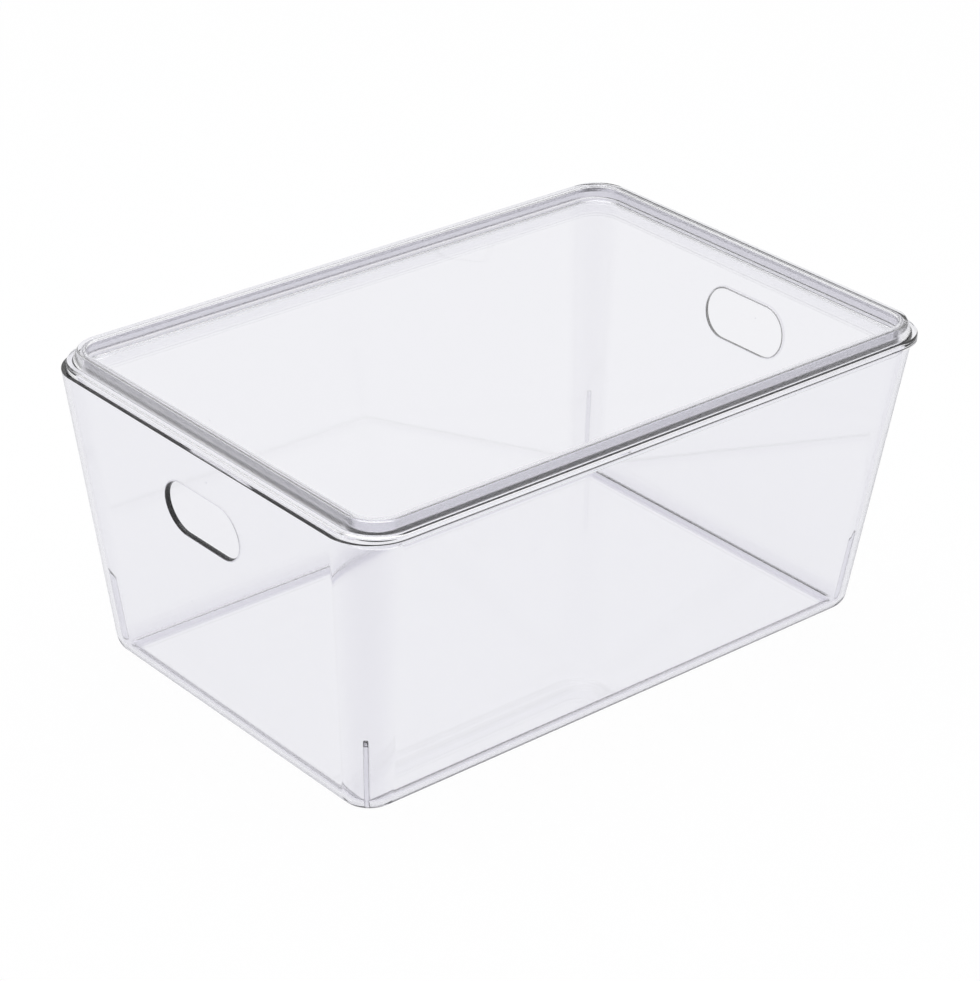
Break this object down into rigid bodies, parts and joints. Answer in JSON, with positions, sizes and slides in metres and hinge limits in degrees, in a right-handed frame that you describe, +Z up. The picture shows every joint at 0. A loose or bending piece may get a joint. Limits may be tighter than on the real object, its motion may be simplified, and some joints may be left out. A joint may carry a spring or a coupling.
{
  "type": "storage box with lid",
  "caption": "Clear moulded rectangular storage bin with drafted walls, handle slots through both short ends, nesting fins in the lower corners and a lift-off stacking lid.",
  "frame": {"origin": "on the ground, under the middle of the bin", "axes": "+X along the bin's long side, +Y across it, +Z up; the handle slots are in the ends at +X and -X"},
  "size_m": [0.4019, 0.2769, 0.1839],
  "materials": {
    "bin": "clear moulded acrylic, gloss",
    "lid": "clear moulded acrylic, gloss"
  },
  "bodies": {
    "bin": {"bin": "bin"},
    "lid": {"lid": "lid"}
  },
  "joints": [
    {"name": "lid_lift", "type": "slide", "parent": "bin", "child": "lid", "axis": [0, 0, 1], "range_m": [0, 0.06]}
  ]
}
